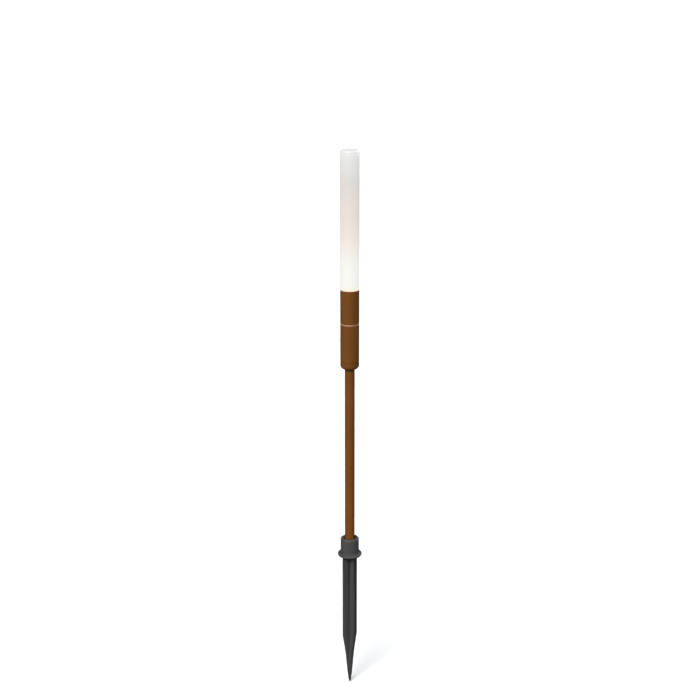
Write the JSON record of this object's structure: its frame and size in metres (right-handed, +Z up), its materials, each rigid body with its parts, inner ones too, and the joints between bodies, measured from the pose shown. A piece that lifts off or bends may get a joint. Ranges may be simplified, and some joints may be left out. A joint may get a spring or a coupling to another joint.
{
  "type": "garden spike light",
  "caption": "Slim torch-shaped garden light: an opal tube on a brown two-part head, a thin stem and a black plastic ground spike.",
  "frame": {"origin": "on the torch's axis at the soil line, the underside of the spike's flange", "axes": "+Z up along the torch's axis; the cable leaves the collar at the back, towards +Y"},
  "size_m": [0.0496, 0.0496, 1.1384],
  "materials": {
    "spike_plastic": "satin black moulded plastic",
    "brown_paint": "satin rust-brown powder coat",
    "trim_metal": "pinkish tan anodised aluminium",
    "opal_plastic": "white opal diffusing plastic",
    "rubber": "black rubber",
    "alloy": "turned aluminium",
    "steel": "plated steel",
    "black_moulding": "black moulding",
    "white_moulding": "white moulding",
    "green_board": "green lacquered circuit board",
    "lead_sleeve": "red lead insulation",
    "led_lens": "yellow phosphor lens"
  },
  "bodies": {
    "spike": {"ground_spike": "spike_plastic", "cable_grommet": "rubber"},
    "bush": {"stem_bush": "rubber"},
    "stem": {"stem_tube": "brown_paint", "stem_cable_guard": "black_moulding", "stem_plug": "alloy", "stem_washer": "steel", "stem_nut": "steel", "lower_housing": "brown_paint", "joint_seal": "rubber", "wiring_plate": "black_moulding", "terminal_block": "white_moulding", "terminal_screw_1": "steel", "terminal_screw_2": "steel", "base_jack": "black_moulding", "jack_lead_1": "lead_sleeve", "jack_lead_2": "lead_sleeve"},
    "ring": {"joint_ring": "trim_metal"},
    "head": {"upper_housing": "brown_paint", "head_plug": "black_moulding", "driver_board": "green_board", "driver_standoff_1": "alloy", "driver_standoff_2": "alloy", "driver_screw_1": "steel", "driver_screw_2": "steel", "driver_inductor": "black_moulding", "driver_capacitor": "black_moulding", "driver_chip": "black_moulding", "heat_sink": "alloy", "led_lead_1": "lead_sleeve", "led_lead_2": "lead_sleeve", "led_board": "white_moulding", "led_1": "led_lens", "led_2": "led_lens", "led_3": "led_lens", "led_4": "led_lens", "led_5": "led_lens", "led_6": "led_lens", "board_screw_1": "steel", "board_screw_2": "steel", "reflector_ring": "white_moulding"},
    "diffuser": {"diffuser_tube": "opal_plastic", "diffuser_seal": "rubber"}
  },
  "joints": [
    {"name": "stem_turn", "type": "hinge", "parent": "spike", "child": "bush", "pos_m": [0, 0, 0.03], "axis": [0, 0, 1], "continuous": true},
    {"name": "stem_lift", "type": "slide", "parent": "bush", "child": "stem", "axis": [0, 0, 1], "range_m": [0, 0.024]},
    {"name": "head_turn", "type": "hinge", "parent": "stem", "child": "ring", "pos_m": [0, 0, 0.4983], "axis": [0, 0, 1], "range_deg": [0, 2520]},
    {"name": "head_rise", "type": "slide", "parent": "ring", "child": "head", "axis": [0, 0, 1], "range_m": [0, 0.0106]},
    {"name": "diffuser_pull", "type": "slide", "parent": "head", "child": "diffuser", "axis": [0, 0, 1], "range_m": [0, 0.02]}
  ],
  "couplings": [
    {"joint": "head_rise", "follows": "head_turn", "m_per_rad": 0.00023873}
  ]
}
